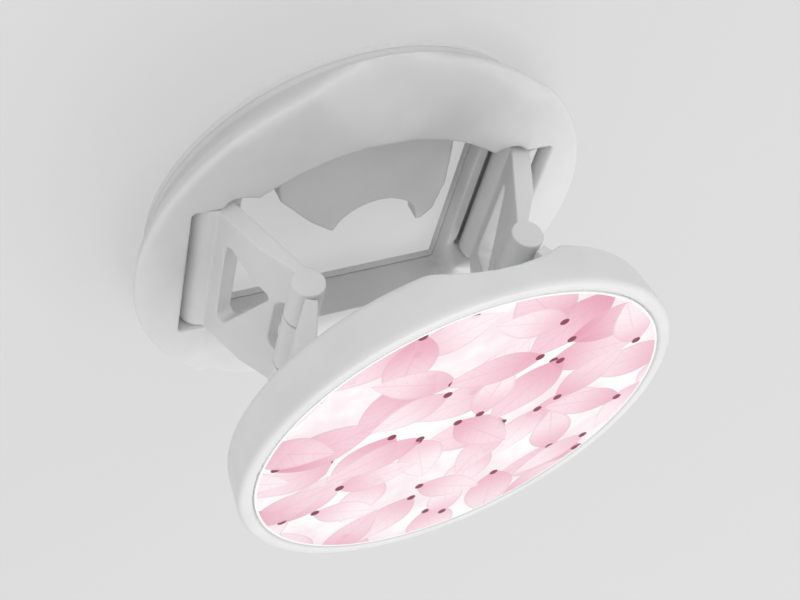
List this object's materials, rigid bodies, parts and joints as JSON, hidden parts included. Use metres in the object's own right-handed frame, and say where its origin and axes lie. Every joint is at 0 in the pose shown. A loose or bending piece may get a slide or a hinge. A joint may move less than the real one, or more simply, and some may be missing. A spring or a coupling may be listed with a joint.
{
  "type": "phone grip",
  "caption": "Round folding phone grip: an adhesive base and a printed disc joined by hinged legs with knees, shown pulled out.",
  "frame": {"origin": "centre of the adhesive pad's underside, at the middle of the bounding box", "axes": "+Z from the phone towards the disc, Y along the hinge axes, X across the two legs"},
  "size_m": [0.044, 0.041, 0.0269],
  "materials": {
    "moulded_plastic": "satin white moulded",
    "steel": "bright drawn wire",
    "adhesive": "pale foam adhesive",
    "printed_film": "printed pink flowers under a clear gloss"
  },
  "bodies": {
    "base": {"adhesive_pad": "adhesive", "base_housing": "moulded_plastic"},
    "left_lower_leg": {"lower_arm_left": "moulded_plastic", "base_pin_left": "steel", "knee_pin_left": "steel"},
    "left_upper_leg": {"upper_arm_left": "moulded_plastic", "disc_pin_left": "steel"},
    "disc": {"disc_housing": "moulded_plastic", "printed_insert": "printed_film"},
    "right_lower_leg": {"lower_arm_right": "moulded_plastic", "base_pin_right": "steel", "knee_pin_right": "steel"},
    "right_upper_leg": {"upper_arm_right": "moulded_plastic", "disc_pin_right": "steel"}
  },
  "joints": [
    {"name": "base_hinge_left", "type": "hinge", "parent": "base", "child": "left_lower_leg", "pos_m": [0.015, 0, 0.0033], "axis": [0, -1, 0], "range_deg": [0, 55.6]},
    {"name": "knee_left", "type": "hinge", "parent": "left_lower_leg", "child": "left_upper_leg", "pos_m": [0.01043, 0, 0.01407], "axis": [0, 1, 0], "range_deg": [0, 111.2]},
    {"name": "disc_hinge_left", "type": "hinge", "parent": "left_upper_leg", "child": "disc", "pos_m": [0.015, 0, 0.02484], "axis": [0, -1, 0], "range_deg": [0, 55.6]},
    {"name": "base_hinge_right", "type": "hinge", "parent": "base", "child": "right_lower_leg", "pos_m": [-0.015, 0, 0.0033], "axis": [0, 1, 0], "range_deg": [0, 55.6]},
    {"name": "knee_right", "type": "hinge", "parent": "right_lower_leg", "child": "right_upper_leg", "pos_m": [-0.01043, 0, 0.01407], "axis": [0, -1, 0], "range_deg": [0, 111.2]}
  ],
  "couplings": [
    {"joint": "knee_left", "follows": "base_hinge_left", "ratio": 2},
    {"joint": "disc_hinge_left", "follows": "base_hinge_left", "ratio": 1},
    {"joint": "base_hinge_right", "follows": "base_hinge_left", "ratio": 1},
    {"joint": "knee_right", "follows": "base_hinge_left", "ratio": 2}
  ]
}
